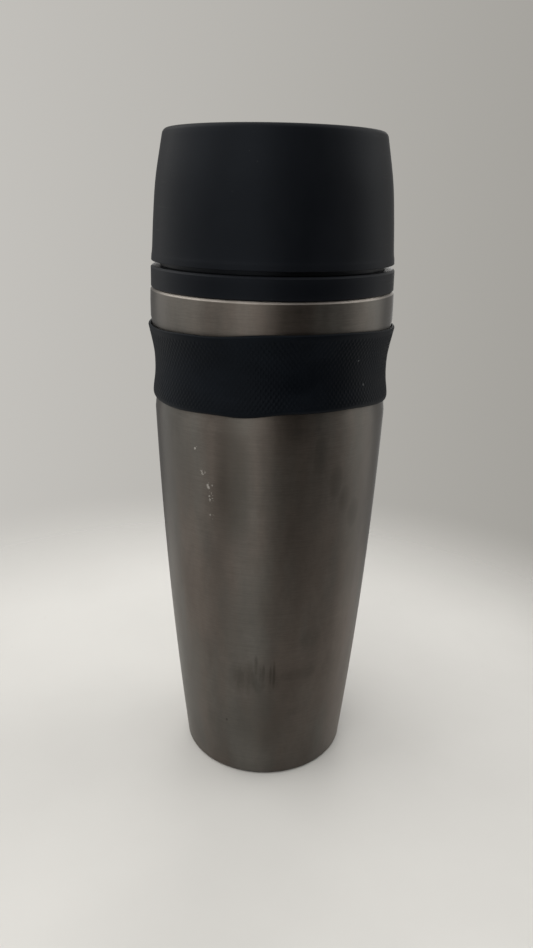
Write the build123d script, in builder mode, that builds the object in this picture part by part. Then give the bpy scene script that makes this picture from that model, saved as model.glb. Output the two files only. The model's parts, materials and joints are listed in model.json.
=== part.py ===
from build123d import *
import os

# Insulated travel mug with a screw lid and a push-button drinking valve.
# Millimetres, +Z up. The origin is the centre of the base, on the surface the mug stands on.
# The front is at -Y. Every profile is drawn in the XZ plane as (radius, height) and revolved.

# Gaps shared by several pieces
fit_gap = 0.02
running_gap = 0.05
clip_gap = 0.1

# Outer steel shell
steel_wall = 0.5
heel_radius = 31.35
heel_height = 1.5
belly_radius = 38.1
belly_height = 80.0
hip_radius = 40.9
hip_height = 139.0
waist_radius = 39.2
waist_height = 154.0
shoulder_radius = 41.65
shoulder_height = 171.0
rim_radius = 41.5
rim_height = 180.4
rim_bevel = 0.7

# Base disc, getter and the plug of the evacuation hole
base_disc_radius = 30.3
dish_radius = 23.0
dish_rise = 1.6
evacuation_hole_radius = 1.5
seal_bead_radius = 2.6
seal_bead_height = 0.7
seal_bead_slope = 0.4
getter_radius = 6.0
getter_thickness = 2.0
getter_edge = 0.5

# Inner liner
liner_floor = 7.0
liner_flat_radius = 19.0
liner_corner_radius = 27.6
liner_corner_height = 16.0
liner_top_radius = 33.9
seat_low = 163.0
seat_high = 167.0
mouth_radius = 37.9

# Grip sleeve
sleeve_low = 143.4
sleeve_roll_radius = 41.5
sleeve_roll_height = 145.4
sleeve_underside = (41.3, 144.0)
sleeve_below_waist = (40.9, 150.0)
sleeve_waist_radius = 40.65
sleeve_flare = (41.2, 161.8)
sleeve_lip_radius = 42.6
sleeve_high = 169.3
sleeve_lip_thickness = 0.9
sleeve_lip_turn = 0.6
sleeve_edge_radius = 40.7
sleeve_gap = 0.1
lip_root = (40.6, 164.0)
core_radius = 37.0
core_high = 160.0

# Neck ring, a plastic collar whose skirt carries the female thread
neck_bottom = rim_height + fit_gap
neck_top = 187.5
neck_radius = 41.3
neck_draft = 0.1
neck_bevel = 0.6
neck_foot_bevel = 0.4
skirt_radius = 37.8
skirt_bottom = 169.0
bore_radius = 36.2
lead_in = 0.6

# Three-start screw thread
thread_lead = 12.0
thread_starts = 3
thread_turn = 150.0
thread_root_width = 2.0
thread_crest_width = 1.0
thread_bite = 0.3
thread_step = 360 / thread_starts
female_crest_radius = 34.7
male_crest_radius = 35.9
thread_height = 173.5

# Threaded plug of the lid
plug_radius = 34.4
plug_inner_radius = 30.6
plug_floor_low = 162.0
plug_floor_high = 164.5
plug_corner = 2.0
tube_radius = 32.4
tube_top = 216.8
flange_radius = 38.0
flange_low = neck_top + clip_gap
flange_step = 189.3
flange_high = 191.5
cap_seat_radius = 38.7
groove_radius = 32.6
groove_low = 163.6
groove_high = 168.0
plug_lip_radius = 33.4
valve_opening_radius = 19.5
valve_seat_chamfer = 1.6

# Lid gasket
gasket_radius = 34.4
gasket_clearance = 0.06
gasket_end_gap = clip_gap
gasket_edge = 0.5

# Cap shell of the lid
cap_low = 189.0
cap_foot_radius = 41.0
cap_foot_bevel = 0.5
cap_bore_radius = cap_seat_radius + running_gap
cap_low_waist = (40.5, 193.0)
cap_middle = (39.9, 203.0)
cap_upper = (38.8, 214.5)
cap_brow = (36.4, 228.0)
cap_wall = 2.2
rim_crown = (35.2, 229.3)
rim_inside = (34.2, 228.3)
rim_root = (34.2, 221.5)
well_shoulder = (29.4, 220.7)
well_radius = 28.0
well_high = 218.5
leg_radius = 30.5
leg_high = 219.0
leg_low = 212.0
seal_groove_low = 213.2
seal_groove_high = 214.4
seal_groove_depth = 1.1

# Guide frame: a ring on the plug's floor, four arms and a central barrel
frame_low = plug_floor_high + running_gap
frame_ring_radius = plug_inner_radius - plug_corner
frame_ring_width = 2.8
frame_ring_height = 4.0
barrel_radius = 11.0
barrel_bore = 9.0
barrel_top = 206.0
bulkhead_low = 188.0
bulkhead_high = 191.0
arm_width = 3.0
arm_count = 4
arm_root = barrel_radius - 1
arm_length = frame_ring_radius - frame_ring_width / 2 - arm_root

# Push button and its press
press_travel = 5.0
button_radius = 25.5
button_top = 222.0
button_dip = 1.2
button_wall = 1.3
button_edge = 1.0
button_thickness = 1.8
button_pocket_radius = 22.25
button_skirt_low = 213.4
plunger_low = 214.0
plunger_high = 216.5
plunger_skirt_radius = 13.0
plunger_skirt_bore = 11.35
plunger_skirt_low = 197.0
plate_radius = button_radius - button_wall - clip_gap
hub_radius = 5.5
hub_low = 208.5

# Stem and drinking valve
stem_radius = 4.0
stem_bottom = 160.7
stem_top = 213.9
collar_radius = 5.2
collar_low = 184.1
collar_high = 186.0
clip_groove_radius = 3.3
clip_groove_low = 176.9
clip_groove_high = 177.9
clip_radius = 5.6
clip_mouth = 4.6
clip_mouth_depth = 9.2
valve_radius = 23.5
valve_edge = 0.8
valve_low = 158.0
valve_plate = 2.6
valve_boss_radius = 18.0
valve_boss_high = 161.8
valve_socket_radius = 6.5
valve_socket_high = 163.5
seal_inner_radius = 18.1
seal_outer_radius = 23.3
seal_high = 161.9
seal_edge = 0.3
screw_radius = 1.5
screw_hole_radius = 1.55
screw_head_radius = 3.6
screw_head_height = 2.2
screw_head_edge = 0.6
screw_tip = 170.0
screw_hole_end = 171.0
driver_slot_width = 1.0
driver_slot_depth = 1.1

# Indexing rotor: it turns as the button goes down, led by slots in a fixed sleeve
rotor_turn = 45.0
rotor_low = 178.0
rotor_high = 184.0
rotor_radius = 6.8
rotor_peg_count = 4
rotor_peg_radius = 0.9
rotor_peg_reach = 8.4
rotor_peg_root = rotor_radius - 1
guide_sleeve_bore = 7.2
guide_slot_height = 3.2
guide_slot_depth = 3.0
guide_slot_end_angle = 12.0
barrel_plug_low = 165.0
barrel_plug_high = 168.0
stem_seal_radius = 6.4
stem_seal_high = 169.6

# Return spring
spring_radius = 6.7
spring_wire = 0.6
spring_turns = 7
spring_low = bulkhead_high + running_gap
spring_high = plunger_low - running_gap


def save(piece, name):
    """Label a finished piece and write it to its own file."""
    piece.part.label = name
    export_step(piece.part, f"parts/{name}.step")


def shell_curve(inset):
    """The steel body's side from heel to rim, moved inwards by inset: belly arc, then the sleeve's waist."""
    ThreePointArc(
        (heel_radius - inset, heel_height),
        (belly_radius - inset, belly_height),
        (hip_radius - inset, hip_height),
    )
    waist_curve(inset)


def waist_curve(inset):
    """The shallow waist that the grip sleeve sits in, and the shoulder above it."""
    Spline(
        (hip_radius - inset, hip_height),
        (waist_radius - inset, waist_height),
        (shoulder_radius - inset, shoulder_height),
        tangents=[(-0.06, 1), (0.02, 1)],
    )


def ridge(base_radius, crest_radius, height):
    """One helical ridge of the screw thread, from the front round towards the left."""
    bite = thread_bite if crest_radius < base_radius else -thread_bite
    with BuildPart() as one:
        with BuildLine():
            path = Helix(
                pitch=thread_lead,
                height=thread_lead * thread_turn / 360,
                radius=base_radius,
                center=(0, 0, height),
            )
        with BuildSketch(Plane.XZ):
            with BuildLine():
                Polyline(
                    (base_radius + bite, height - thread_root_width / 2),
                    (crest_radius, height - thread_crest_width / 2),
                    (crest_radius, height + thread_crest_width / 2),
                    (base_radius + bite, height + thread_root_width / 2),
                    close=True,
                )
            make_face()
        sweep(path=path, is_frenet=True)
    return one.part


def slot_cutter(angle):
    """The space cut from the guide sleeve for one peg, which turns rotor_turn as it comes down."""
    lead = press_travel * 360 / rotor_turn
    sweep_angle = rotor_turn + 2 * guide_slot_end_angle
    peg_low = (rotor_low + rotor_high) / 2 - press_travel
    low = peg_low - lead * guide_slot_end_angle / 360
    with BuildPart() as cutter:
        with BuildLine():
            path = Helix(
                pitch=lead,
                height=lead * sweep_angle / 360,
                radius=barrel_bore,
                center=(0, 0, low),
                lefthand=True,
            )
        with BuildSketch(Plane.XZ):
            with Locations((barrel_bore - 1, low)):
                Rectangle(guide_slot_depth, guide_slot_height)
        sweep(path=path, is_frenet=True)
    return cutter.part.rotate(Axis.Z, angle + rotor_turn + guide_slot_end_angle)


os.makedirs("parts", exist_ok=True)

# Outer shell: brushed steel wall with a rolled heel, a waist for the sleeve and an in-turned rim
with BuildPart() as outer_shell:
    with BuildSketch(Plane.XZ):
        with BuildLine():
            shell_curve(0)
            Line((shoulder_radius, shoulder_height), (rim_radius, rim_height - rim_bevel))
            Line((rim_radius, rim_height - rim_bevel), (rim_radius - rim_bevel, rim_height))
            Polyline(
                (rim_radius - rim_bevel, rim_height),
                (mouth_radius, rim_height),
                (mouth_radius, rim_height - steel_wall),
                (rim_radius - 2 * steel_wall, rim_height - steel_wall),
                (shoulder_radius - steel_wall, shoulder_height),
            )
            shell_curve(steel_wall)
            Polyline(
                (heel_radius - steel_wall, heel_height),
                (base_disc_radius + running_gap, heel_height - steel_wall),
                (base_disc_radius + running_gap, 0),
            )
            RadiusArc((base_disc_radius + running_gap, 0), (heel_radius, heel_height), -heel_height)
        make_face()
    revolve(axis=Axis.Z)
save(outer_shell, "outer_shell")

# Base disc: welded into the heel, dished in the middle, with the evacuation hole
with BuildPart() as base_disc:
    with BuildSketch(Plane.XZ):
        with BuildLine():
            Polyline(
                (evacuation_hole_radius, dish_rise),
                (dish_radius - dish_rise, dish_rise),
                (dish_radius, 0),
                (base_disc_radius, 0),
                (base_disc_radius, heel_height - steel_wall),
                (dish_radius + steel_wall, heel_height - steel_wall),
                (dish_radius - dish_rise + steel_wall, dish_rise + 2 * steel_wall),
                (evacuation_hole_radius, dish_rise + 2 * steel_wall),
                close=True,
            )
        make_face()
    revolve(axis=Axis.Z)
save(base_disc, "base_disc")

# Vacuum seal: the bead that closes the evacuation hole from inside and fills it
with BuildPart() as vacuum_seal:
    with BuildSketch(Plane.XZ):
        with BuildLine():
            Polyline(
                (0, dish_rise),
                (evacuation_hole_radius - fit_gap, dish_rise),
                (evacuation_hole_radius - fit_gap, dish_rise + 2 * steel_wall + fit_gap),
                (seal_bead_radius, dish_rise + 2 * steel_wall + fit_gap),
                (seal_bead_radius - seal_bead_slope, dish_rise + 2 * steel_wall + seal_bead_height),
                (0, dish_rise + 2 * steel_wall + seal_bead_height),
                close=True,
            )
        make_face()
    revolve(axis=Axis.Z)
save(vacuum_seal, "vacuum_seal")

# Inner liner: the steel cup that holds the drink, with a conical seat for the lid gasket
with BuildPart() as inner_liner:
    with BuildSketch(Plane.XZ):
        with BuildLine():
            Line((0, liner_floor), (liner_flat_radius, liner_floor))
            Spline(
                (liner_flat_radius, liner_floor),
                (liner_corner_radius, liner_corner_height),
                tangents=[(1, 0), (0.05, 1)],
            )
            Spline(
                (liner_corner_radius, liner_corner_height),
                (liner_top_radius, seat_low),
                tangents=[(0.09, 1), (0, 1)],
            )
            Polyline(
                (liner_top_radius, seat_low),
                (mouth_radius, seat_high),
                (mouth_radius, rim_height - steel_wall - fit_gap),
                (mouth_radius + steel_wall, rim_height - steel_wall - fit_gap),
                (mouth_radius + steel_wall, seat_high - steel_wall / 2),
                (liner_top_radius + steel_wall, seat_low - steel_wall / 2),
            )
            Spline(
                (liner_top_radius + steel_wall, seat_low - steel_wall / 2),
                (liner_corner_radius + steel_wall, liner_corner_height),
                tangents=[(0, -1), (-0.09, -1)],
            )
            Spline(
                (liner_corner_radius + steel_wall, liner_corner_height),
                (liner_flat_radius, liner_floor - steel_wall),
                tangents=[(-0.05, -1), (-1, 0)],
            )
            Line((liner_flat_radius, liner_floor - steel_wall), (0, liner_floor - steel_wall))
            Line((0, liner_floor - steel_wall), (0, liner_floor))
        make_face()
    revolve(axis=Axis.Z)
save(inner_liner, "inner_liner")

# Getter: the tablet under the liner that keeps the vacuum
with BuildPart() as getter:
    with BuildSketch(Plane.XY.offset(liner_floor - steel_wall - getter_thickness - fit_gap)):
        Circle(getter_radius)
    extrude(amount=getter_thickness)
    fillet(getter.edges().group_by(Axis.Z)[0], getter_edge)
save(getter, "getter")

# Grip sleeve: silicone band with a rolled lower edge and a flared upper lip
with BuildPart() as grip_sleeve:
    with BuildSketch(Plane.XZ):
        with BuildLine():
            Spline(
                (sleeve_edge_radius, sleeve_low),
                sleeve_underside,
                (sleeve_roll_radius, sleeve_roll_height),
                sleeve_below_waist,
                (sleeve_waist_radius, waist_height),
                sleeve_flare,
                (sleeve_lip_radius, sleeve_high - sleeve_lip_turn),
            )
            RadiusArc(
                (sleeve_lip_radius, sleeve_high - sleeve_lip_turn),
                (sleeve_lip_radius - sleeve_lip_thickness, sleeve_high),
                -sleeve_lip_thickness,
            )
            Polyline(
                (sleeve_lip_radius - sleeve_lip_thickness, sleeve_high),
                lip_root,
                (core_radius, core_high),
                (core_radius, sleeve_low),
                (sleeve_edge_radius, sleeve_low),
            )
        make_face()
    revolve(axis=Axis.Z)
    with BuildSketch(Plane.XZ):
        with BuildLine():
            waist_curve(-sleeve_gap)
            Polyline(
                (shoulder_radius + sleeve_gap, shoulder_height),
                (core_radius - sleeve_gap, shoulder_height),
                (core_radius - sleeve_gap, hip_height),
                (hip_radius + sleeve_gap, hip_height),
            )
        make_face()
    revolve(axis=Axis.Z, mode=Mode.SUBTRACT)
save(grip_sleeve, "grip_sleeve")

# Neck ring: the black collar at the mouth, with a threaded skirt inside the liner
with BuildPart() as neck_ring:
    with BuildSketch(Plane.XZ):
        with BuildLine():
            Polyline(
                (neck_radius - neck_foot_bevel, neck_bottom),
                (neck_radius, neck_bottom + neck_foot_bevel),
                (neck_radius - neck_draft, neck_top - neck_bevel),
                (neck_radius - neck_draft - neck_bevel, neck_top),
                (bore_radius + lead_in, neck_top),
                (bore_radius, neck_top - lead_in),
                (bore_radius, skirt_bottom),
                (skirt_radius, skirt_bottom),
                (skirt_radius, neck_bottom),
                close=True,
            )
        make_face()
    revolve(axis=Axis.Z)
    for start in range(thread_starts):
        female = ridge(bore_radius, female_crest_radius, thread_height + thread_lead / thread_starts / 2)
        add(female.rotate(Axis.Z, start * thread_step))
save(neck_ring, "neck_ring")

# Lid gasket: silicone ring in the plug's groove that lands on the liner's conical seat
with BuildPart() as lid_gasket:
    with BuildSketch(Plane.XZ):
        with BuildLine():
            Polyline(
                (groove_radius + gasket_clearance, groove_low + gasket_end_gap),
                (gasket_radius - gasket_edge, groove_low + gasket_end_gap),
                (gasket_radius, groove_low + gasket_end_gap + gasket_edge),
                (gasket_radius - gasket_edge, groove_high - gasket_end_gap),
                (groove_radius + gasket_clearance, groove_high - gasket_end_gap),
                close=True,
            )
        make_face()
    revolve(axis=Axis.Z)
save(lid_gasket, "lid_gasket")

# Threaded plug: floor with the valve opening, threaded wall, flange and the tube up into the cap
with BuildPart() as lid_plug:
    with BuildSketch(Plane.XZ):
        with BuildLine():
            Polyline(
                (valve_opening_radius + valve_seat_chamfer, plug_floor_low),
                (plug_lip_radius, plug_floor_low),
                (plug_lip_radius, groove_low),
                (groove_radius, groove_low),
                (groove_radius, groove_high),
                (plug_radius, groove_high),
                (plug_radius, flange_low),
                (flange_radius, flange_low),
                (flange_radius, flange_step),
                (cap_seat_radius, flange_step),
                (cap_seat_radius, flange_high),
                (tube_radius, flange_high),
                (tube_radius, tube_top),
                (plug_inner_radius, tube_top),
                (plug_inner_radius, plug_floor_high + plug_corner),
            )
            RadiusArc(
                (plug_inner_radius, plug_floor_high + plug_corner),
                (plug_inner_radius - plug_corner, plug_floor_high),
                -plug_corner,
            )
            Polyline(
                (plug_inner_radius - plug_corner, plug_floor_high),
                (valve_opening_radius, plug_floor_high),
                (valve_opening_radius, plug_floor_low + valve_seat_chamfer),
                (valve_opening_radius + valve_seat_chamfer, plug_floor_low),
            )
        make_face()
    revolve(axis=Axis.Z)
    for start in range(thread_starts):
        male = ridge(plug_radius, male_crest_radius, thread_height)
        add(male.rotate(Axis.Z, start * thread_step))
save(lid_plug, "lid_plug")

# Cap shell: the tall grip of the lid with the drinking rim, the well and the leg inside the tube
with BuildPart() as cap_shell:
    with BuildSketch(Plane.XZ):
        with BuildLine():
            Polyline(
                (cap_bore_radius, cap_low),
                (cap_foot_radius - cap_foot_bevel, cap_low),
                (cap_foot_radius, cap_low + cap_foot_bevel),
            )
            Spline(
                (cap_foot_radius, cap_low + cap_foot_bevel),
                cap_low_waist,
                cap_middle,
                cap_upper,
                cap_brow,
            )
            Spline(cap_brow, rim_crown, tangents=[(-0.25, 1), (-1, 0)])
            Spline(
                rim_crown,
                rim_inside,
                well_shoulder,
                (well_radius, well_high),
                tangents=[(-1, 0), (0, -1)],
            )
            Polyline(
                (well_radius, well_high),
                (well_radius, leg_low),
                (leg_radius, leg_low),
                (leg_radius, seal_groove_low),
                (leg_radius - seal_groove_depth, seal_groove_low),
                (leg_radius - seal_groove_depth, seal_groove_high),
                (leg_radius, seal_groove_high),
                (leg_radius, leg_high),
                rim_root,
                (cap_upper[0] - cap_wall, cap_upper[1]),
                (cap_middle[0] - cap_wall, cap_middle[1]),
                (cap_low_waist[0] - cap_wall, cap_low_waist[1]),
                (cap_low_waist[0] - cap_wall, flange_high + running_gap),
                (cap_bore_radius, flange_high + running_gap),
                (cap_bore_radius, cap_low),
            )
        make_face()
    revolve(axis=Axis.Z)
save(cap_shell, "cap_shell")

# Cap seal: O-ring between the cap's leg and the plug's tube
with BuildPart() as cap_seal:
    with BuildSketch(Plane.XZ):
        with Locations((leg_radius - seal_groove_depth / 2, (seal_groove_low + seal_groove_high) / 2)):
            Circle(seal_groove_depth / 2 - fit_gap)
    revolve(axis=Axis.Z)
save(cap_seal, "cap_seal")

# Guide frame: ring, arms across the flow, and the barrel with its bulkhead
with BuildPart() as guide_frame:
    with BuildSketch(Plane.XY.offset(frame_low)):
        Circle(frame_ring_radius)
        Circle(frame_ring_radius - frame_ring_width, mode=Mode.SUBTRACT)
    extrude(amount=frame_ring_height)
    with BuildSketch(Plane.XY.offset(frame_low)):
        with PolarLocations(arm_root, arm_count):
            Rectangle(arm_length, arm_width, align=(Align.MIN, Align.CENTER))
    extrude(amount=frame_ring_height)
    with BuildSketch(Plane.XY.offset(frame_low)):
        Circle(barrel_radius)
    extrude(amount=barrel_top - frame_low)
    with BuildSketch(Plane.XY.offset(frame_low)):
        Circle(barrel_bore)
    extrude(amount=bulkhead_low - frame_low, mode=Mode.SUBTRACT)
    with BuildSketch(Plane.XY.offset(bulkhead_low)):
        Circle(stem_radius + running_gap)
    extrude(amount=bulkhead_high - bulkhead_low, mode=Mode.SUBTRACT)
    with BuildSketch(Plane.XY.offset(bulkhead_high)):
        Circle(barrel_bore)
    extrude(amount=barrel_top - bulkhead_high, mode=Mode.SUBTRACT)
save(guide_frame, "guide_frame")

# Barrel plug: closes the barrel's lower end and guides the stem
with BuildPart() as barrel_plug:
    with BuildSketch(Plane.XY.offset(barrel_plug_low)):
        Circle(barrel_bore - fit_gap)
        Circle(stem_radius + running_gap, mode=Mode.SUBTRACT)
    extrude(amount=barrel_plug_high - barrel_plug_low)
save(barrel_plug, "barrel_plug")

# Stem seal: rubber ring that keeps the drink out of the barrel
with BuildPart() as stem_seal:
    with BuildSketch(Plane.XY.offset(barrel_plug_high + fit_gap)):
        Circle(stem_seal_radius)
        Circle(stem_radius + running_gap, mode=Mode.SUBTRACT)
    extrude(amount=stem_seal_high - barrel_plug_high)
save(stem_seal, "stem_seal")

# Guide sleeve: lines the barrel and has one slanted slot for each rotor peg
with BuildPart() as guide_sleeve:
    with BuildSketch(Plane.XY.offset(stem_seal_high + running_gap)):
        Circle(barrel_bore - fit_gap)
        Circle(guide_sleeve_bore, mode=Mode.SUBTRACT)
    extrude(amount=bulkhead_low - stem_seal_high - 2 * running_gap)
    for peg in range(rotor_peg_count):
        add(slot_cutter(peg * 360 / rotor_peg_count), mode=Mode.SUBTRACT)
save(guide_sleeve, "guide_sleeve")

# Indexing rotor: turns on the stem, with four pegs in the sleeve's slots
with BuildPart() as index_rotor:
    with BuildSketch(Plane.XY.offset(rotor_low)):
        Circle(rotor_radius)
        Circle(stem_radius + running_gap, mode=Mode.SUBTRACT)
    extrude(amount=rotor_high - rotor_low)
    with Locations((0, 0, (rotor_low + rotor_high) / 2)):
        with PolarLocations(rotor_peg_root, rotor_peg_count):
            Cylinder(
                rotor_peg_radius,
                rotor_peg_reach - rotor_peg_root,
                rotation=(0, 90, 0),
                align=(Align.CENTER, Align.CENTER, Align.MIN),
            )
save(index_rotor, "index_rotor")

# Stem: joins the button to the valve, with a collar above the rotor and a clip groove below it
with BuildPart() as stem:
    with BuildSketch(Plane.XZ):
        with BuildLine():
            Polyline(
                (0, screw_hole_end),
                (screw_hole_radius, screw_hole_end),
                (screw_hole_radius, stem_bottom),
                (stem_radius, stem_bottom),
                (stem_radius, clip_groove_low),
                (clip_groove_radius, clip_groove_low),
                (clip_groove_radius, clip_groove_high),
                (stem_radius, clip_groove_high),
                (stem_radius, collar_low),
                (collar_radius, collar_low),
                (collar_radius, collar_high),
                (stem_radius, collar_high),
                (stem_radius, stem_top),
                (0, stem_top),
                close=True,
            )
        make_face()
    revolve(axis=Axis.Z)
save(stem, "stem")

# Rotor clip: open retaining ring in the stem's groove
with BuildPart() as rotor_clip:
    with BuildSketch(Plane.XY.offset(clip_groove_low + clip_gap)):
        Circle(clip_radius)
        Circle(clip_groove_radius + running_gap, mode=Mode.SUBTRACT)
        with Locations((0, -clip_radius)):
            Rectangle(clip_mouth, clip_mouth_depth, mode=Mode.SUBTRACT)
    extrude(amount=clip_groove_high - clip_groove_low - 2 * clip_gap)
save(rotor_clip, "rotor_clip")

# Valve disc: closes the opening in the plug's floor from below
with BuildPart() as valve_disc:
    with BuildSketch(Plane.XZ):
        with BuildLine():
            Polyline(
                (screw_hole_radius, valve_low),
                (valve_radius - valve_edge, valve_low),
                (valve_radius, valve_low + valve_edge),
                (valve_radius, valve_low + valve_plate),
                (valve_boss_radius, valve_low + valve_plate),
                (valve_boss_radius, valve_boss_high),
                (valve_socket_radius, valve_boss_high),
                (valve_socket_radius, valve_socket_high),
                (stem_radius + fit_gap, valve_socket_high),
                (stem_radius + fit_gap, stem_bottom - fit_gap),
                (screw_hole_radius, stem_bottom - fit_gap),
                close=True,
            )
        make_face()
    revolve(axis=Axis.Z)
save(valve_disc, "valve_disc")

# Valve seal: silicone ring on the valve disc
with BuildPart() as valve_seal:
    with BuildSketch(Plane.XY.offset(valve_low + valve_plate + fit_gap)):
        Circle(seal_outer_radius)
        Circle(seal_inner_radius, mode=Mode.SUBTRACT)
    extrude(amount=seal_high - valve_low - valve_plate - fit_gap)
    fillet(valve_seal.edges().group_by(Axis.Z)[-1], seal_edge)
save(valve_seal, "valve_seal")

# Valve screw: holds the valve disc to the stem from below
with BuildPart() as valve_screw:
    with BuildSketch(Plane.XY.offset(valve_low - fit_gap)):
        Circle(screw_head_radius)
    extrude(amount=-screw_head_height)
    fillet(valve_screw.edges().group_by(Axis.Z)[0], screw_head_edge)
    with BuildSketch(Plane.XY.offset(valve_low - fit_gap)):
        Circle(screw_radius)
    extrude(amount=screw_tip - valve_low)
    with BuildSketch(Plane.XY.offset(valve_low - fit_gap - screw_head_height)):
        Rectangle(driver_slot_width, 2 * screw_head_radius)
        Rectangle(2 * screw_head_radius, driver_slot_width)
    extrude(amount=driver_slot_depth, mode=Mode.SUBTRACT)
save(valve_screw, "valve_screw")

# Button plunger: plate, hub on the stem and the skirt that runs over the barrel
with BuildPart() as button_plunger:
    with BuildSketch(Plane.XZ):
        with BuildLine():
            Polyline(
                (0, plunger_low),
                (stem_radius + fit_gap, plunger_low),
                (stem_radius + fit_gap, hub_low),
                (hub_radius, hub_low),
                (hub_radius, plunger_low),
                (plunger_skirt_bore, plunger_low),
                (plunger_skirt_bore, plunger_skirt_low),
                (plunger_skirt_radius, plunger_skirt_low),
                (plunger_skirt_radius, plunger_low),
                (plate_radius, plunger_low),
                (plate_radius, plunger_high),
                (0, plunger_high),
                close=True,
            )
        make_face()
    revolve(axis=Axis.Z)
save(button_plunger, "button_plunger")

# Button cap: the visible top, slightly dished, clipped over the plunger's plate
with BuildPart() as button_cap:
    with BuildSketch(Plane.XZ):
        with BuildLine():
            Polyline(
                (0, button_top - button_dip),
                (0, button_top - button_dip - button_thickness),
                (button_pocket_radius, button_top - button_dip - button_thickness),
                (button_pocket_radius, plunger_high + running_gap),
                (button_radius - button_wall, plunger_high + running_gap),
                (button_radius - button_wall, button_skirt_low),
                (button_radius, button_skirt_low),
                (button_radius, button_top - button_edge),
            )
            RadiusArc(
                (button_radius, button_top - button_edge),
                (button_radius - button_edge, button_top),
                -button_edge,
            )
            Spline(
                (button_radius - button_edge, button_top),
                (0, button_top - button_dip),
                tangents=[(-1, -0.12), (-1, 0)],
            )
        make_face()
    revolve(axis=Axis.Z)
save(button_cap, "button_cap")

# Return spring: coil between the bulkhead and the plunger, drawn at its length with the button up
with BuildPart() as return_spring:
    with BuildLine():
        coil = Helix(
            pitch=(spring_high - spring_low - 2 * spring_wire) / spring_turns,
            height=spring_high - spring_low - 2 * spring_wire,
            radius=spring_radius,
            center=(0, 0, spring_low + spring_wire),
        )
    with BuildSketch(Plane(origin=coil @ 0, z_dir=coil % 0)):
        Circle(spring_wire)
    sweep(path=coil, is_frenet=True)
save(return_spring, "return_spring")
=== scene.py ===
import json
import math

import bpy
import numpy as np
from mathutils import Matrix, Vector


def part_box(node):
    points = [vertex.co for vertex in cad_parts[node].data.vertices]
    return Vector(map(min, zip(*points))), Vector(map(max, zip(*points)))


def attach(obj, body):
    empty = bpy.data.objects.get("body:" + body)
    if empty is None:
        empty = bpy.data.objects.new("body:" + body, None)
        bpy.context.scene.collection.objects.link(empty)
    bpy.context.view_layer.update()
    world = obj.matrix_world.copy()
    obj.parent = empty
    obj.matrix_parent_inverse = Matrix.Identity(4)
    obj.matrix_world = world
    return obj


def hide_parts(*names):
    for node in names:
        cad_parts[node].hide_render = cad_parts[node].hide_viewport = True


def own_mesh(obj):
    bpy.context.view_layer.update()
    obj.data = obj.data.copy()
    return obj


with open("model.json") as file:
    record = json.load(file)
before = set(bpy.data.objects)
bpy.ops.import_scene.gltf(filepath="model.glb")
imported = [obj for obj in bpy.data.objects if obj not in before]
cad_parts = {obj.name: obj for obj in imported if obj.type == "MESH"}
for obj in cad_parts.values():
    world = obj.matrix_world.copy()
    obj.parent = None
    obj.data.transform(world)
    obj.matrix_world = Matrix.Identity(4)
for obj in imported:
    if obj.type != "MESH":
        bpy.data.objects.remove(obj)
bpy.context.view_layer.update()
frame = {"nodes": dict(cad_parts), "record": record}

# The mug stands on z = 0 with its front at -Y. Its outlines are drawn in millimetres, as
# (radius, height) points, and become metres as each mesh is made.
MM = 0.001
ROUND = 288  # segments round a turned piece
SLEEVE_ROUND = 972  # segments round the knurled sleeve, six for each groove


# ---------------------------------------------------------------- outlines

def arc(start, via, end, count):
    """Count points on the circle through three points."""
    (ax, ay), (bx, by), (cx, cy) = start, via, end
    d = 2 * (ax * (by - cy) + bx * (cy - ay) + cx * (ay - by))
    a2, b2, c2 = ax * ax + ay * ay, bx * bx + by * by, cx * cx + cy * cy
    ox = (a2 * (by - cy) + b2 * (cy - ay) + c2 * (ay - by)) / d
    oy = (a2 * (cx - bx) + b2 * (ax - cx) + c2 * (bx - ax)) / d
    radius = math.hypot(ax - ox, ay - oy)
    first = math.atan2(ay - oy, ax - ox)
    turn = (math.atan2(cy - oy, cx - ox) - first + math.pi) % math.tau - math.pi
    return [
        (ox + radius * math.cos(first + turn * t), oy + radius * math.sin(first + turn * t))
        for t in np.linspace(0, 1, count)
    ]


def curve(points, steps):
    """A smooth (Catmull-Rom) curve through the points, with steps points on each stretch."""
    p = [np.array(q, float) for q in points]
    p = [2 * p[0] - p[1], *p, 2 * p[-1] - p[-2]]
    made = []
    for a, b, c, d in zip(p, p[1:], p[2:], p[3:]):
        for t in np.arange(steps) / steps:
            made.append(
                tuple(
                    0.5 * (2 * b + (c - a) * t + (2 * a - 5 * b + 4 * c - d) * t * t
                           + (3 * b - a - 3 * c + d) * t ** 3)
                )
            )
    return [*made, tuple(p[-2])]


MOST_ROUNDED = 0.48  # share of a side that the rounding of one corner may take


def soften(corners, steps=5):
    """An outline from (radius, height, rounding) corners, each turned into a curve of its rounding."""
    made = []
    count = len(corners)
    for i, (x, y, rounding) in enumerate(corners):
        if not rounding:
            made.append((x, y))
            continue
        here = np.array((x, y))
        before = np.array(corners[i - 1][:2]) - here
        after = np.array(corners[(i + 1) % count][:2]) - here
        before_length, after_length = np.linalg.norm(before), np.linalg.norm(after)
        before, after = before / before_length, after / after_length
        half = math.acos(max(-1, min(1, float(before @ after)))) / 2
        longest = MOST_ROUNDED * min(before_length, after_length)
        reach = min(rounding / math.tan(half), longest)
        start, end = here + before * reach, here + after * reach
        for t in np.linspace(0, 1, steps):
            made.append(tuple((1 - t) ** 2 * start + 2 * t * (1 - t) * here + t * t * end))
    return made


def ease(value, start, end):
    """0 before start and 1 after end, smooth between."""
    t = np.clip((value - start) / (end - start), 0, 1)
    return t * t * (3 - 2 * t)


# ---------------------------------------------------------------- meshes

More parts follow.
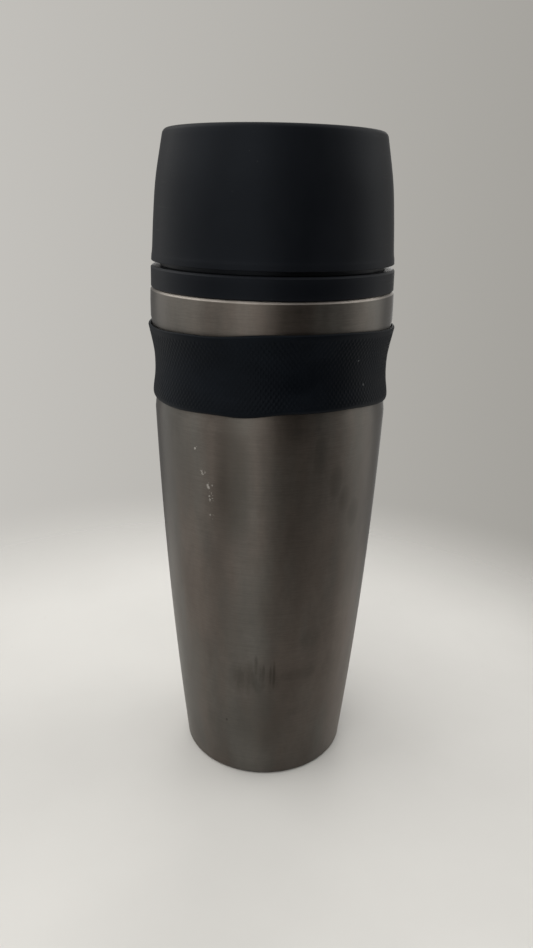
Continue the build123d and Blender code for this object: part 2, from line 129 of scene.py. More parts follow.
def mesh_object(name, points, faces):
    """A smooth-shaded mesh object in the scene, from points in metres and faces."""
    mesh = bpy.data.meshes.new(name)
    mesh.from_pydata([tuple(p) for p in points], [], faces)
    mesh.validate()
    mesh.shade_smooth()
    made = bpy.data.objects.new(name, mesh)
    bpy.context.scene.collection.objects.link(made)
    return made


def turned(name, outline, segments=ROUND, reshape=None, sharp=35):
    """A closed body of revolution whose edges stay crisp where they turn by more than sharp degrees.

    The outline runs anticlockwise. The function reshape may move its points, given their radii and
    heights, one row for each point of the outline, and the angles, one for each segment.
    """
    outline = np.array(outline, float)
    angles = np.arange(segments) * math.tau / segments
    radius = np.repeat(outline[:, :1], segments, axis=1)
    height = np.repeat(outline[:, 1:], segments, axis=1)
    if reshape:
        radius, height = reshape(radius, height, angles)
    points = np.stack((radius * np.sin(angles), -radius * np.cos(angles), height), axis=2) * MM
    rows = len(outline)
    below = np.arange(rows * segments).reshape(rows, segments)
    above = np.roll(below, -1, axis=0)
    quads = np.stack(
        (below, np.roll(below, -1, axis=1), np.roll(above, -1, axis=1), above), axis=2
    ).reshape(-1, 4)
    made = mesh_object(name, points.reshape(-1, 3), quads.tolist())
    made.data.set_sharp_from_angle(angle=math.radians(sharp))
    return made


# ---------------------------------------------------------------- node trees

class Nodes:
    """A node tree, with short ways to add and join nodes."""

    def __init__(self, tree):
        self.tree = tree

    def set(self, node, inputs):
        """Link or fill a node's inputs, given by number or by name with _ for a space."""
        for name, value in inputs.items():
            socket = node.inputs[name if isinstance(name, int) else name.replace("_", " ")]
            if isinstance(value, bpy.types.NodeSocket):
                self.tree.links.new(value, socket)
            else:
                socket.default_value = value

    def add(self, kind, settings=None, **inputs):
        node = self.tree.nodes.new(kind)
        for name, value in (settings or {}).items():
            setattr(node, name, value)
        self.set(node, inputs)
        return node

    def math(self, operation, a, b=0.0):
        node = self.add("ShaderNodeMath", {"operation": operation})
        self.set(node, {0: a, 1: b})
        return node.outputs[0]

    def scaled(self, vector, factor):
        node = self.add("ShaderNodeVectorMath", {"operation": "SCALE"}, Scale=factor)
        self.set(node, {0: vector})
        return node.outputs[0]

    def between(self, value, low, high, to_low=0.0, to_high=1.0):
        """To_low below low and to_high above high, smooth between."""
        node = self.add(
            "ShaderNodeMapRange", {"interpolation_type": "SMOOTHSTEP"}, Value=value,
            From_Min=low, From_Max=high, To_Min=to_low, To_Max=to_high,
        )
        return node.outputs["Result"]

    def blend(self, factor, a, b):
        """The number a at factor 0 and b at factor 1."""
        node = self.add("ShaderNodeMix", {"data_type": "FLOAT"})
        self.set(node, {0: factor, 2: a, 3: b})
        return node.outputs[0]

    def mix(self, factor, a, b):
        """The colour a at factor 0 and b at factor 1."""
        node = self.add("ShaderNodeMix", {"data_type": "RGBA"})
        self.set(node, {0: factor, 6: a, 7: b})
        return node.outputs[2]


GRAIN_DEPTH = 0.02 * MM  # of every fine surface texture


class Shader(Nodes):
    """A material's node tree round its Principled BSDF, textured by place on the object."""

    def __init__(self, name):
        self.material = bpy.data.materials.new(name)
        self.material.use_nodes = True
        super().__init__(self.material.node_tree)
        self.surface = self.tree.nodes["Principled BSDF"]
        self.place = self.add("ShaderNodeTexCoord").outputs["Object"]
        parts = self.add("ShaderNodeSeparateXYZ", Vector=self.place).outputs
        self.x, self.y, self.z = parts["X"], parts["Y"], parts["Z"]

    def noise(self, scale, stretch=(1, 1, 1), detail=3.0, roughness=0.55, offset=(0, 0, 0)):
        place = self.add("ShaderNodeMapping", Vector=self.place, Location=offset, Scale=stretch)
        node = self.add(
            "ShaderNodeTexNoise", Vector=place.outputs[0], Scale=scale, Detail=detail, Roughness=roughness
        )
        return node.outputs["Fac"]

    def flecks(self, scale, core, edge, rare, rarest):
        """Scattered specks, 1 out to core and 0 past edge, in the few cells picked above rare."""
        cells = self.add("ShaderNodeTexVoronoi", Vector=self.place, Scale=scale, Randomness=1.0)
        picked = self.add("ShaderNodeSeparateColor", Color=cells.outputs["Color"]).outputs[0]
        speck = self.between(cells.outputs["Distance"], core, edge, 1.0, 0.0)
        return self.math("MULTIPLY", speck, self.between(picked, rare, rarest))

    def bump(self, height, strength):
        node = self.add("ShaderNodeBump", Height=height, Distance=GRAIN_DEPTH, Strength=strength)
        self.tree.links.new(node.outputs["Normal"], self.surface.inputs["Normal"])

    def paint(self, **inputs):
        self.set(self.surface, inputs)
        return self.material


def near(shader, azimuth, height, wide, high):
    """1 at a place on the mug's side, given in degrees from the front and millimetres up, fading to 0."""
    radians = math.radians(azimuth)
    across = shader.math(
        "ADD",
        shader.math("MULTIPLY", shader.x, math.cos(radians)),
        shader.math("MULTIPLY", shader.y, math.sin(radians)),
    )
    facing = shader.math(
        "SUBTRACT",
        shader.math("MULTIPLY", shader.x, math.sin(radians)),
        shader.math("MULTIPLY", shader.y, math.cos(radians)),
    )
    side = shader.math("DIVIDE", across, wide * MM)
    up = shader.math("DIVIDE", shader.math("SUBTRACT", shader.z, height * MM), high * MM)
    apart = shader.math("ADD", shader.math("MULTIPLY", side, side), shader.math("MULTIPLY", up, up))
    here = shader.between(apart, 0.0, 1.0, 1.0, 0.0)
    return shader.math("MULTIPLY", here, shader.math("GREATER_THAN", facing, 0.0))


def marked(shader, places):
    """The strongest of the soft spots at a list of places."""
    strongest = 0.0
    for azimuth, height, wide, high, strength in places:
        spot = shader.math("MULTIPLY", near(shader, azimuth, height, wide, high), strength)
        strongest = shader.math("MAXIMUM", spot, strongest)
    return strongest


def colour(r, g, b):
    return (r, g, b, 1.0)


# ---------------------------------------------------------------- materials

STEEL_COOL = colour(0.108, 0.102, 0.092)
STEEL_WARM = colour(0.119, 0.101, 0.088)
# The dark tint shared by the run marks and the painted shade patches
STEEL_STAIN_AND_SHADE = colour(0.045, 0.040, 0.034)
STEEL_CHIPPED = colour(0.42, 0.40, 0.37)
# Painted highlight: paler steel along the rim's bevel, standing in for its reflection of the bright
# ceiling
STEEL_RIM_HIGHLIGHT = colour(0.36, 0.33, 0.30)
DEEPEST_STAIN_AND_SHADE = 0.62  # how far the deepest run marks and painted shade go towards their dark tint
# Chips in the tint: degrees from the front, height, half-width and half-height in millimetres, strength
CHIPS = [
    (-35.7, 132.0, 1.0, 1.0, 1.0), (-32.3, 124.0, 1.8, 1.2, 0.7), (-28.4, 119.8, 1.6, 1.5, 1.0),
    (-27.9, 116.0, 1.3, 2.4, 0.8), (-28.0, 110.0, 1.4, 2.6, 0.5),
]
# Dark run marks and dried drops, each given in the same way
RUNS = [
    (-4.8, 50.5, 1.0, 7.0, 1.0), (-0.4, 48.0, 0.9, 5.5, 0.95), (3.6, 47.0, 0.8, 6.5, 0.75),
    (5.6, 46.5, 0.8, 8.5, 0.85), (-9.0, 45.0, 9.5, 10.0, 0.85), (1.5, 43.0, 5.5, 11.0, 0.42),
    (17.0, 47.0, 6.0, 3.5, 0.3), (27.0, 47.5, 3.5, 3.5, 0.26), (26.0, 62.0, 5.0, 6.0, 0.36),
    (13.0, 30.0, 8.0, 3.5, 0.26), (-24.0, 24.5, 0.6, 0.8, 1.0), (-21.0, 30.5, 1.2, 0.7, 0.3),
]
# Painted shade: soft places where the tint is deeper, standing in for darker reflections in the steel,
# each given in the same way
PAINTED_SHADE = [
    (-16.5, 124.0, 8.0, 29.0, 0.95), (-55.0, 122.0, 15.0, 30.0, 0.55), (-3.0, 27.0, 13.0, 20.0, 0.6),
    (24.0, 131.5, 3.0, 8.0, 0.4), (34.0, 121.5, 3.5, 8.0, 0.55), (41.0, 114.0, 4.5, 8.0, 0.8),
    (47.5, 108.0, 5.0, 9.0, 1.0), (48.0, 104.0, 11.0, 38.0, 0.6),
]
RIM_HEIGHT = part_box("outer_shell")[1].z / MM
# Heights in millimetres where the painted rim highlight begins and is full
RIM_HIGHLIGHT_FROM = RIM_HEIGHT - 0.9
RIM_HIGHLIGHT_FULLY = RIM_HEIGHT - 0.5


def gunmetal_steel():
    """Smoke-tinted steel, brushed round the mug, with patina, small chips, run marks, painted shade and a
    painted rim highlight.
    """
    s = Shader("gunmetal_steel")
    hairlines = s.noise(1.0, (60, 60, 2600), detail=5.0, roughness=0.7)
    dashes = s.noise(1.0, (420, 420, 3600), detail=2.0)
    patina = s.noise(1.0, (38, 38, 9), detail=4.0, roughness=0.62)
    smears = s.noise(1.0, (75, 75, 30), detail=5.0, roughness=0.65, offset=(0.4, 0.1, 0))
    grain = s.math("ADD", s.math("MULTIPLY", hairlines, 0.6), s.math("MULTIPLY", dashes, 0.4))
    shade = s.math(
        "MULTIPLY", s.between(grain, 0.35, 0.65, 0.91, 1.09), s.between(smears, 0.32, 0.68, 0.88, 1.10)
    )
    base = s.scaled(s.mix(s.between(patina, 0.36, 0.64), STEEL_COOL, STEEL_WARM), shade)

    blots = s.noise(380.0, (1, 1, 0.35), detail=4.0)
    stain = s.math("MULTIPLY", marked(s, RUNS), s.between(blots, 0.3, 0.62, 0.6, 1.1))
    # Run marks together with the painted shade patches
    stain_and_shade = s.math("MAXIMUM", stain, marked(s, PAINTED_SHADE))
    base = s.mix(s.math("MULTIPLY", stain_and_shade, DEEPEST_STAIN_AND_SHADE), base, STEEL_STAIN_AND_SHADE)

    crumbs = s.noise(1100.0, detail=1.0)
    chipped = s.math("MULTIPLY", marked(s, CHIPS), s.between(crumbs, 0.56, 0.62))
    base = s.mix(chipped, base, STEEL_CHIPPED)
    # Painted highlight on the rim's bevel, broken up by the smears
    rim = s.between(s.z, RIM_HIGHLIGHT_FROM * MM, RIM_HIGHLIGHT_FULLY * MM)
    base = s.mix(s.math("MULTIPLY", rim, s.between(smears, 0.3, 0.6, 0.6, 1.0)), base, STEEL_RIM_HIGHLIGHT)

    rough = s.math("ADD", s.between(grain, 0.35, 0.65, 0.34, 0.42), s.math("MULTIPLY", patina, 0.05))
    rough = s.math("ADD", rough, s.math("MULTIPLY", stain, 0.1))
    s.bump(grain, 0.4)
    tangent = s.add("ShaderNodeTangent", {"direction_type": "RADIAL", "axis": "Z"})
    return s.paint(
        Base_Color=base, Metallic=1.0, Roughness=rough, Anisotropic=0.9, Anisotropic_Rotation=0.25,
        Tangent=tangent.outputs[0],
    )


BRIGHT_STEEL = (0.6, 0.6, 0.6)
FINE_GRAIN = (500, 500, 500)


def plain_steel(name, tint, roughness, stretch):
    """Uncoated steel whose grain is as fine along each axis as stretch says."""
    s = Shader(name)
    grain = s.noise(1.0, stretch, detail=4.0, roughness=0.6)
    cloud = s.noise(60.0, detail=2.0)
    dark = colour(*(0.9 * c for c in tint))
    base = s.mix(s.between(grain, 0.35, 0.65), dark, colour(*tint))
    rough = s.between(grain, 0.3, 0.7, roughness - 0.05, roughness + 0.07)
    rough = s.math("ADD", rough, s.math("MULTIPLY", cloud, 0.05))
    s.bump(grain, 0.2)
    return s.paint(Base_Color=base, Metallic=1.0, Roughness=rough)


COOL_GLOSS = colour(0.78, 0.87, 1.0)
WHITE_GLOSS = colour(1, 1, 1)
DUST = colour(0.22, 0.22, 0.21)
LINT = colour(0.3, 0.31, 0.31)


def moulded(name, tint, roughness, specular=0.14, gloss=COOL_GLOSS, polish=0.0):
    """Moulded plastic: fine grain, faint cloudiness, rubbed edges, dust, and polish on top faces."""
    s = Shader(name)
    cloud = s.noise(38.0, (1, 1, 0.6), detail=3.0)
    rubs = s.noise(1.0, (90, 90, 1400), detail=3.0, offset=(0.2, 0.3, 0.1))
    light = colour(*(1.4 * c + 0.001 for c in tint))
    worn = colour(*(2.2 * c + 0.008 for c in tint))
    base = s.mix(s.between(cloud, 0.3, 0.7), colour(*tint), light)
    edge = s.between(s.add("ShaderNodeNewGeometry").outputs["Pointiness"], 0.52, 0.58)
    base = s.mix(s.math("MULTIPLY", edge, 0.35), base, worn)
    base = s.mix(s.math("MULTIPLY", s.flecks(420.0, 0.06, 0.12, 0.9, 0.95), 0.05), base, DUST)

    normal = s.add("ShaderNodeTexCoord").outputs["Normal"]
    facing_up = s.add("ShaderNodeSeparateXYZ", Vector=normal).outputs["Z"]
    polished = s.math("MULTIPLY", s.between(facing_up, 0.93, 0.98), polish)
    rough = s.between(cloud, 0.3, 0.7, roughness - 0.03, roughness + 0.04)
    rough = s.math("SUBTRACT", rough, s.math("MULTIPLY", s.between(rubs, 0.6, 0.72), 0.05))
    rough = s.math("SUBTRACT", rough, polished)
    spark = s.noise(5200.0, detail=2.0)
    s.bump(s.math("ADD", spark, s.math("MULTIPLY", rubs, 0.15)), s.math("SUBTRACT", 0.35, polished))
    return s.paint(
        Base_Color=base, Roughness=rough, Specular_IOR_Level=specular, Specular_Tint=gloss
    )


# Two pale specks on the sleeve, each given as in CHIPS
SPECKS = [(42.9, 161.2, 0.35, 0.35, 1.0), (47.6, 153.0, 0.5, 0.5, 1.0)]


def silicone(name, tint, roughness):
    """Matt silicone with lint and a soft bloom."""
    s = Shader(name)
    bloom = s.noise(55.0, (1, 1, 1.6), detail=4.0)
    lint = s.math("MAXIMUM", s.flecks(210.0, 0.04, 0.09, 0.93, 0.97), marked(s, SPECKS))
    light = colour(*(1.6 * c + 0.001 for c in tint))
    base = s.mix(s.between(bloom, 0.35, 0.7), colour(*tint), light)
    base = s.mix(s.math("MULTIPLY", lint, 0.3), base, LINT)
    rough = s.between(bloom, 0.3, 0.7, roughness - 0.04, roughness + 0.05)
    s.bump(s.noise(3800.0, detail=2.0), 0.4)
    return s.paint(
        Base_Color=base, Roughness=rough, Specular_IOR_Level=0.09, Specular_Tint=COOL_GLOSS
    )


# The floor, in metres: where it begins to fade and is gone, its edge, and how far the fade is shifted
FLOOR_SOLID = 0.13
FLOOR_FADED = 0.30
FLOOR_EDGE = 0.34
FLOOR_SHIFT = (0.02, 0.02, 0.0)
FLOOR_DIM = colour(0.625, 0.617, 0.596)
FLOOR_PALE = colour(0.66, 0.652, 0.63)
FLOOR_MARK = colour(0.5, 0.49, 0.47)


def floor_paper():
    """Pale studio floor with faint marks, fading out into the pale room."""
    s = Shader("floor_paper")
    cloud = s.noise(9.0, detail=5.0)
    marks = s.noise(1.0, (120, 30, 30), detail=6.0, roughness=0.7)
    base = s.mix(s.between(cloud, 0.3, 0.7), FLOOR_DIM, FLOOR_PALE)
    base = s.mix(s.math("MULTIPLY", s.between(marks, 0.66, 0.74), 0.25), base, FLOOR_MARK)
    shifted = s.add("ShaderNodeMapping", Vector=s.place, Location=FLOOR_SHIFT)
    away = s.add("ShaderNodeVectorMath", {"operation": "LENGTH"})
    s.set(away, {0: shifted.outputs[0]})
    fade = s.between(away.outputs["Value"], FLOOR_SOLID, FLOOR_FADED, 1.0, 0.0)
    return s.paint(Base_Color=base, Roughness=0.62, Alpha=fade)


# ---------------------------------------------------------------- the mug's visible pieces

INSIDE = 0.01  # how far an edge stays inside the CAD shape

# The steel body, from its foot to its mouth
FOOT_RADIUS = 30.36
FOOT_TOP = 0.95
HEEL = (31.35, 1.5)
BELLY = (38.1, 80.0)
HIP = (40.9, 139.0)
ABOVE_HIP = (40.2, 145.5)
WAIST = (39.2, 154.0)
ABOVE_WAIST = (40.3, 163.0)
SHOULDER = (41.65, 171.0)
ABOVE_SHOULDER = (41.64, 176.0)
RIM_RADIUS = 41.5
RIM_BEVEL = 0.72
MOUTH_RADIUS = 37.95
STEEL_WALL = 0.5


def side(inset, count):
    """The steel body's side from heel to shoulder, moved inwards by inset."""
    heel, belly, hip, above_hip, waist, above_waist, shoulder = (
        (radius - inset, height)
        for radius, height in (HEEL, BELLY, HIP, ABOVE_HIP, WAIST, ABOVE_WAIST, SHOULDER)
    )
    upper = curve([hip, above_hip, waist, above_waist, shoulder], max(3, count // 6))
    return arc(heel, belly, hip, count) + upper[1:]


def make_body():
    heel = arc((FOOT_RADIUS, 0.02), (31.0, 0.45), HEEL, 8)
    outside = side(0, 60)
    rim = soften(
        [
            (*SHOULDER, 0),
            (*ABOVE_SHOULDER, 0),
            (RIM_RADIUS, RIM_HEIGHT - RIM_BEVEL, 0.35),
            (RIM_RADIUS - RIM_BEVEL, RIM_HEIGHT - INSIDE, 0.3),
            (MOUTH_RADIUS, RIM_HEIGHT - INSIDE, 0.1),
            (MOUTH_RADIUS, RIM_HEIGHT - STEEL_WALL, 0.1),
            (RIM_RADIUS - 2.5 * STEEL_WALL, RIM_HEIGHT - STEEL_WALL, 0),
            (SHOULDER[0] - STEEL_WALL, SHOULDER[1], 0),
        ]
    )
    inside = side(STEEL_WALL, 24)[::-1]
    outline = heel[:-1] + outside[:-1] + rim[:-1] + inside + [(FOOT_RADIUS, FOOT_TOP)]
    body = turned("body_shell", outline)
    body.data.materials.append(gunmetal_steel())
    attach(body, "vessel")
    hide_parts("outer_shell")


SLEEVE_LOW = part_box("grip_sleeve")[0].z / MM
SLEEVE_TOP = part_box("grip_sleeve")[1].z / MM
SLEEVE_LIP = (42.5, SLEEVE_TOP - 0.9)
KNURL_TURNS = 162  # grooves each way round the sleeve
KNURL_RISE = 2.25  # height between two grooves of one set
KNURL_DEPTH = 0.14
KNURL_WIDTH = 0.65  # how far below its crest the wave that draws a groove still cuts
SLEEVE_BLACK = (0.0014, 0.0022, 0.0036)


def sleeve_seat(degrees):
    """How far the sleeve's lower and upper edges have ridden up at each angle, in millimetres."""
    a = (degrees + 180) % 360 - 180
    low = np.exp(-(((a + 24) / 18) ** 2)) + 2.5 * ease(a, -18, 10) * (1 - ease(a, 34, 84))
    high = 1.5 * ease(a, -31, 2) * (1 - ease(a, 34, 104)) - 0.8 * ease(abs(a), 30, 66)
    return low, high


def make_sleeve():
    outer = curve(
        [
            (40.75, SLEEVE_LOW),
            (41.28, SLEEVE_LOW + 0.45),
            (41.5, SLEEVE_LOW + 1.5),
            (41.3, SLEEVE_LOW + 3.7),
            (40.85, SLEEVE_LOW + 6.9),
            (40.63, SLEEVE_LOW + 10.7),
            (40.75, SLEEVE_LOW + 15.0),
            (41.2, SLEEVE_LOW + 18.4),
            (41.85, SLEEVE_LOW + 21.8),
            SLEEVE_LIP,
        ],
        8,
    )
    lip = arc(SLEEVE_LIP, (42.4, SLEEVE_TOP - 0.25), (42.0, SLEEVE_TOP - 0.02), 5)
    inner = curve(
        [
            (41.75, SLEEVE_TOP - 0.1),
            (41.2, 166.0),
            (40.3, 162.2),
            (39.35, 156.5),
            (39.35, 151.5),
            (39.9, 147.4),
            (40.5, SLEEVE_LOW + 0.1),
        ],
        2,
    )
    outline = outer + lip[1:] + inner
    heights = np.array([height for _, height in outer])
    from_edge = ease(heights, SLEEVE_LOW + 1.0, SLEEVE_LOW + 2.2)
    to_lip = ease(heights, SLEEVE_TOP - 2.7, SLEEVE_TOP - 1.7)
    knurled = np.zeros(len(outline))
    knurled[: len(outer)] = from_edge * (1 - to_lip)

    def knurl(radius, height, angles):
        """Cut the crossed grooves, then seat the sleeve as it has shifted on the mug."""
        turns = angles[None, :] * KNURL_TURNS / math.tau
        rise = height / KNURL_RISE
        wave = np.maximum(np.cos(math.tau * (turns + rise)), np.cos(math.tau * (turns - rise)))
        cut = np.clip((wave - 1 + KNURL_WIDTH) / KNURL_WIDTH, 0, 1)
        radius = radius - KNURL_DEPTH * knurled[:, None] * cut
        low, high = sleeve_seat(np.degrees(angles)[None, :])
        share = np.clip((height - SLEEVE_LOW) / (SLEEVE_TOP - SLEEVE_LOW), 0, 1)
        return radius, height + low * (1 - share) + high * share

    sleeve = turned("grip_sleeve_knurled", outline, SLEEVE_ROUND, knurl, sharp=60)
    sleeve.data.materials.append(silicone("sleeve_silicone", SLEEVE_BLACK, roughness=0.5))
    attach(sleeve, "vessel")
    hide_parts("grip_sleeve")


CAP_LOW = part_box("cap_shell")[0].z / MM
CAP_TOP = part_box("cap_shell")[1].z / MM
GRIP_FOOT = (40.88, CAP_LOW + 1.6)
GRIP_TOP = (36.5, CAP_TOP - 2.0)
RIM_INSIDE = (34.0, CAP_TOP - 1.1)
TUBE_INSIDE = 28.0  # radii of the tube that hangs inside the cap
TUBE_OUTSIDE = 30.5
TUBE_GROOVE = 29.4
TUBE_LOW = 212.0
GROOVE_LOW = 213.2
GROOVE_HIGH = 214.4
SEAT_HIGH = 191.55  # where the cap sits on the plug's flange
SEAT_RADIUS = 38.75
CAP_BLACK = (0.0028, 0.0034, 0.0048)


def make_cap():
    foot = soften(
        [
            (38.8, CAP_LOW + 0.3, 0),
            (38.9, CAP_LOW + INSIDE, 0.15),
            (40.8, CAP_LOW + INSIDE, 0.15),
            (40.98, CAP_LOW + 0.2, 0.15),
            (*GRIP_FOOT, 0),
        ]
    )
    grip = curve([GRIP_FOOT, (40.55, 193.2), (39.9, 203.0), (38.8, 214.5), GRIP_TOP], 14)
    rim = curve(
        [
            GRIP_TOP,
            (36.2, CAP_TOP - 0.95),
            (35.55, CAP_TOP - 0.2),
            (34.95, CAP_TOP - 0.04),
            (34.4, CAP_TOP - 0.33),
            RIM_INSIDE,
        ],
        6,
    )
    well = curve(
        [RIM_INSIDE, (32.6, 225.2), (30.6, 222.2), (28.9, 220.2), (28.1, 218.6), (TUBE_INSIDE, 217.0)], 6
    )
    tube = soften(
        [
            (TUBE_INSIDE, 216.0, 0),
            (TUBE_INSIDE, TUBE_LOW, 0.4),
            (TUBE_OUTSIDE, TUBE_LOW, 0.3),
            (TUBE_OUTSIDE, GROOVE_LOW, 0),
            (TUBE_GROOVE, GROOVE_LOW, 0),
            (TUBE_GROOVE, GROOVE_HIGH, 0),
            (TUBE_OUTSIDE, GROOVE_HIGH, 0),
            (TUBE_OUTSIDE, 219.0, 0.4),
            (34.2, 221.5, 1.0),
            (36.5, 214.5, 0),
            (37.7, 203.0, 0),
            (38.3, 193.0, 0),
            (38.3, SEAT_HIGH, 0.1),
            (SEAT_RADIUS, SEAT_HIGH, 0),
        ]
    )
    cap = turned("cap_grip", foot[:-1] + grip[:-1] + rim[:-1] + well + tube)
    cap.data.materials.append(moulded("cap_plastic", CAP_BLACK, roughness=0.46, specular=0.12))
    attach(cap, "lid")
    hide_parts("cap_shell")


BUTTON_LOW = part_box("button_cap")[0].z / MM
BUTTON_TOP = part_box("button_cap")[1].z / MM
BUTTON_DISH = 1.2  # how deep the thumb's hollow is
BUTTON_THICKNESS = 2.9
BUTTON_INSIDE = 22.2
BUTTON_STEP = 216.6
BUTTON_BLACK = (0.0038, 0.0043, 0.0056)
ALMOST_AXIS = 0.02


def make_button():
    edge = soften(
        [
            (24.25, BUTTON_LOW, 0),
            (25.45, BUTTON_LOW + 0.02, 0.3),
            (25.48, BUTTON_TOP - 1.0, 0.9),
            (24.4, BUTTON_TOP - INSIDE, 0.5),
        ],
        7,
    )
    dish = curve(
        [
            (24.0, BUTTON_TOP - 0.02),
            (20.0, BUTTON_TOP - 0.35),
            (10.0, BUTTON_TOP - 1.0),
            (ALMOST_AXIS, BUTTON_TOP - BUTTON_DISH),
        ],
        8,
    )
    under = soften(
        [
            (ALMOST_AXIS, BUTTON_TOP - BUTTON_THICKNESS, 0),
            (BUTTON_INSIDE, BUTTON_TOP - BUTTON_THICKNESS, 0.3),
            (BUTTON_INSIDE, BUTTON_STEP, 0),
            (24.2, BUTTON_STEP, 0.2),
        ]
    )
    button = turned("button_top", edge[:-1] + dish + under)
    button.data.materials.append(moulded("button_plastic", BUTTON_BLACK, roughness=0.42))
    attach(button, "button")
    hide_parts("button_cap")


SPRING_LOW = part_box("return_spring")[0].z / MM
SPRING_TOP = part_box("return_spring")[1].z / MM
SPRING_RADIUS = 6.7
SPRING_WIRE = 0.6
SPRING_TURNS = 7
SPRING_STEPS = 40  # a turn
WIRE_ROUND = 12
CLOSE_TURN = 2.1 * SPRING_WIRE  # rise of each end turn


def make_spring():
    """The button's return spring, its end turns wound close."""
    steps = SPRING_TURNS * SPRING_STEPS
    low, high = SPRING_LOW + SPRING_WIRE, SPRING_TOP - SPRING_WIRE
    turns = np.linspace(0, SPRING_TURNS + 1, steps)
    ends = np.minimum(turns, 1) + np.maximum(turns - SPRING_TURNS, 0)
    coil = np.clip(turns, 1, SPRING_TURNS) - 1
    height = low + CLOSE_TURN * ends + coil * (high - low - 2 * CLOSE_TURN) / (SPRING_TURNS - 1)
    outward = np.stack((np.cos(math.tau * turns), np.sin(math.tau * turns), 0 * turns), axis=1)
    centre = SPRING_RADIUS * outward + height[:, None] * (0, 0, 1)
    loop = np.arange(WIRE_ROUND) * math.tau / WIRE_ROUND
    points = (
        centre[:, None, :]
        + SPRING_WIRE * np.cos(loop)[None, :, None] * outward[:, None, :]
        + SPRING_WIRE * np.sin(loop)[None, :, None] * np.array((0, 0, 1))
    ) * MM
    faces = []
    for k in range(steps - 1):
        here, after = k * WIRE_ROUND, (k + 1) * WIRE_ROUND
        for i in range(WIRE_ROUND):
            beside = (i + 1) % WIRE_ROUND
            faces.append((here + i, after + i, after + beside, here + beside))
    last = (steps - 1) * WIRE_ROUND
    faces += [tuple(range(WIRE_ROUND)), tuple(last + i for i in reversed(range(WIRE_ROUND)))]
    spring = mesh_object("button_spring", points.reshape(-1, 3), faces)
    spring.data.materials.append(plain_steel("spring_wire", BRIGHT_STEEL, 0.2, FINE_GRAIN))
    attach(spring, "lid")
    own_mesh(spring)
    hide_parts("return_spring")


# ---------------------------------------------------------------- finishes of the CAD pieces that stay

def finish_cad_pieces():
    """Materials for the pieces whose CAD shape is right as it is."""
    bright = plain_steel("spring_steel", BRIGHT_STEEL, 0.2, FINE_GRAIN)
    finishes = {
        "plug_plastic": moulded("plug_plastic", (0.006, 0.0064, 0.0072), roughness=0.38),
        "neck_plastic": moulded(
            "neck_plastic", (0.0018, 0.0023, 0.0036), roughness=0.44, specular=0.12, polish=0.2
        ),
        "cam_plastic": moulded(
            "cam_plastic", (0.62, 0.62, 0.59), roughness=0.3, specular=0.5, gloss=WHITE_GLOSS
        ),
        "seal_silicone": silicone("seal_silicone", (0.2, 0.21, 0.22), roughness=0.5),
        "liner_steel": plain_steel("liner_steel", (0.56, 0.56, 0.55), 0.24, (20, 20, 2400)),
        "base_steel": plain_steel("base_steel", (0.26, 0.24, 0.22), 0.3, (900, 900, 300)),
        "spring_steel": bright,
        "seal_metal": bright,
    }
    for part in frame["record"]["subparts"]:
        node = frame["nodes"][part["node"]]
        if part["material_slot"] in finishes and not node.hide_render:
            node.data.materials.clear()
            node.data.materials.append(finishes[part["material_slot"]])


# ---------------------------------------------------------------- studio

CAMERA_PLACE = (0.0, -0.2725, 0.2105)
CAMERA_PITCH = 19.94  # downwards, in degrees, as are the next two
CAMERA_ROLL = 1.132
CAMERA_YAW = 0.144
FOCAL_LENGTH = 29.39  # millimetres, on a 36 mm sensor along the picture's long side


def make_camera():
    data = bpy.data.cameras.new("camera")
    data.sensor_fit = "VERTICAL"
    data.sensor_height = 36.0
    data.lens = FOCAL_LENGTH
    data.clip_start = 0.01
    camera = bpy.data.objects.new("camera", data)
    bpy.context.scene.collection.objects.link(camera)
    turn = (
        Matrix.Rotation(math.radians(CAMERA_YAW), 4, "Z")
        @ Matrix.Rotation(math.radians(90 - CAMERA_PITCH), 4, "X")
        @ Matrix.Rotation(math.radians(CAMERA_ROLL), 4, "Z")
    )
    camera.matrix_world = Matrix.Translation(CAMERA_PLACE) @ turn
    bpy.context.scene.camera = camera


FLOOR_RINGS = (0.0005, 0.1, 0.2, FLOOR_EDGE)
FLOOR_ROUND = 64


def make_floor():
    """Flat rings round the mug, with a small disc in their middle."""
    points = [
        (r * math.cos(math.tau * i / FLOOR_ROUND), r * math.sin(math.tau * i / FLOOR_ROUND), 0.0)
        for r in FLOOR_RINGS for i in range(FLOOR_ROUND)
    ]
    faces = [tuple(range(FLOOR_ROUND))]
    for k in range(len(FLOOR_RINGS) - 1):
        inner, outer = k * FLOOR_ROUND, (k + 1) * FLOOR_ROUND
        for i in range(FLOOR_ROUND):
            beside = (i + 1) % FLOOR_ROUND
            faces.append((inner + i, outer + i, outer + beside, inner + beside))
    floor = mesh_object("floor", points, faces)
    floor.data.materials.append(floor_paper())


# Soft panels of the room: bearing from the front, half-width and softness in degrees, brightness
PANELS = [
    (-180, 10, 14, 0.95),  # bright backdrop
    (-152, 10, 14, 0.26),  # shade behind the left
    (-100, 28, 13, 0.95),  # pale wall on the left
    (-47, 3, 8, 0.6),  # gap beside the window
    (-24, 12, 9, 1.15),  # window over the left shoulder
    (30, 20, 14, 0.03),  # dark doorway behind the camera
    (43, 1, 5, 0.25),  # its edge
    (68, 6, 12, 0.25),  # curtain
    (106, 10, 14, 1.08),  # pale wall on the right
    (131, 2, 6, 0.34),  # gap behind it
    (150, 8, 12, 0.33),  # shade behind the right
    (180, 12, 16, 1.1),  # bright backdrop
]
ROOM_LEVEL = 0.6  # brightness between the panels
ROOM_LIGHT = 0.87  # strength of all the room's light
ROOM_TINT = (1.0, 0.985, 0.955)
UPPER_WALLS = 2.2  # how much brighter the walls and windows are high up
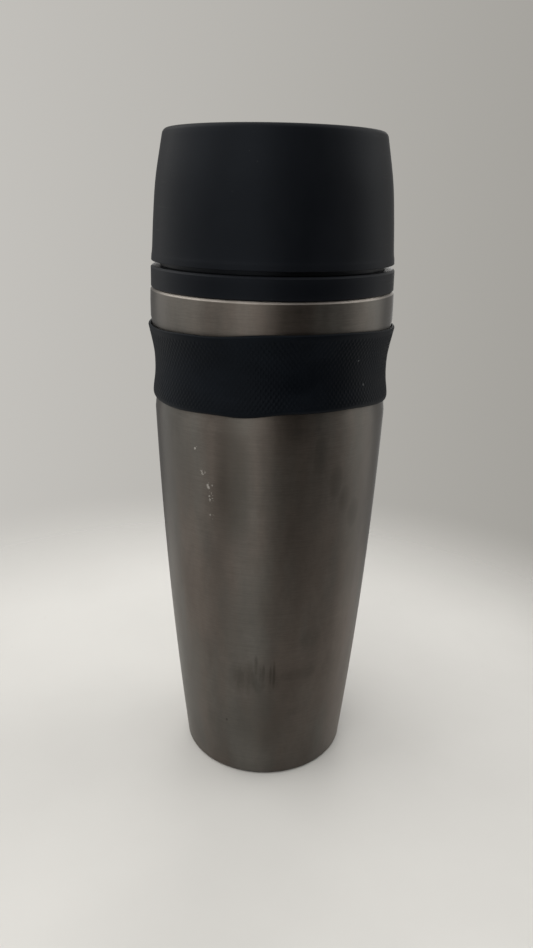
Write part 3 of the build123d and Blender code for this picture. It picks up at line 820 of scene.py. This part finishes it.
# Where the upper walls and the ceiling begin and are full, from 0 level to 1 straight overhead
WALLS_RISE = (0.1, 0.45)
CEILING_RISE = (0.6, 0.95)
CEILING = colour(1.0, 0.99, 0.97)
# What the camera sees behind the mug, from left to right
BACKDROP_LEFT = colour(0.55, 0.535, 0.505)
BACKDROP_RIGHT = colour(0.36, 0.348, 0.322)
BACKDROP_WIDTH = 0.35


def make_room():
    """Soft panels that light the mug and show in its gloss, behind a plain backdrop for the camera."""
    world = bpy.data.worlds.new("room")
    bpy.context.scene.world = world
    world.use_nodes = True
    world.node_tree.nodes.clear()
    room = Nodes(world.node_tree)
    direction = room.add("ShaderNodeTexCoord").outputs["Generated"]
    toward = room.add("ShaderNodeSeparateXYZ", Vector=direction).outputs
    bearing = room.math("ARCTAN2", toward["X"], room.math("MULTIPLY", toward["Y"], -1.0))
    level = ROOM_LEVEL
    for centre, half, soft, brightness in PANELS:
        apart = room.math("ABSOLUTE", room.math("SUBTRACT", bearing, math.radians(centre)))
        inside = room.between(apart, math.radians(half), math.radians(half + soft), 1.0, 0.0)
        level = room.blend(inside, level, brightness)
    raised = room.math("MULTIPLY", level, room.between(toward["Z"], *WALLS_RISE, 1.0, UPPER_WALLS))
    lit = room.mix(room.between(toward["Z"], *CEILING_RISE), room.scaled(ROOM_TINT, raised), CEILING)
    felt = room.add("ShaderNodeBackground", Color=lit, Strength=ROOM_LIGHT)

    across = room.add(
        "ShaderNodeMapRange", Value=toward["X"], From_Min=-BACKDROP_WIDTH, From_Max=BACKDROP_WIDTH
    )
    backdrop = room.mix(across.outputs[0], BACKDROP_LEFT, BACKDROP_RIGHT)
    seen = room.add("ShaderNodeBackground", Color=backdrop, Strength=1.0)
    which = room.add("ShaderNodeMixShader")
    by_camera = room.add("ShaderNodeLightPath").outputs["Is Camera Ray"]
    room.set(which, {0: by_camera, 1: felt.outputs[0], 2: seen.outputs[0]})
    room.add("ShaderNodeOutputWorld", Surface=which.outputs[0])


LIGHT_PLACE = (-0.36, 0.12, 1.05)
LIGHT_AIM = (0, 0, 0.11)
LIGHT_SIZE = 1.2
LIGHT_POWER = 2.7
LIGHT_TINT = (1.0, 0.98, 0.95)


def make_light():
    """One large soft light overhead."""
    data = bpy.data.lights.new("overhead", "AREA")
    data.shape = "RECTANGLE"
    data.size = LIGHT_SIZE
    data.size_y = LIGHT_SIZE
    data.energy = LIGHT_POWER
    data.color = LIGHT_TINT
    light = bpy.data.objects.new("overhead", data)
    bpy.context.scene.collection.objects.link(light)
    light.location = LIGHT_PLACE
    aim = Vector(LIGHT_AIM) - Vector(LIGHT_PLACE)
    light.rotation_euler = aim.to_track_quat("-Z", "Y").to_euler()


make_camera()
make_body()
make_sleeve()
make_cap()
make_button()
make_spring()
finish_cad_pieces()
make_floor()
make_room()
make_light()
bpy.context.scene.view_settings.view_transform = "Standard"
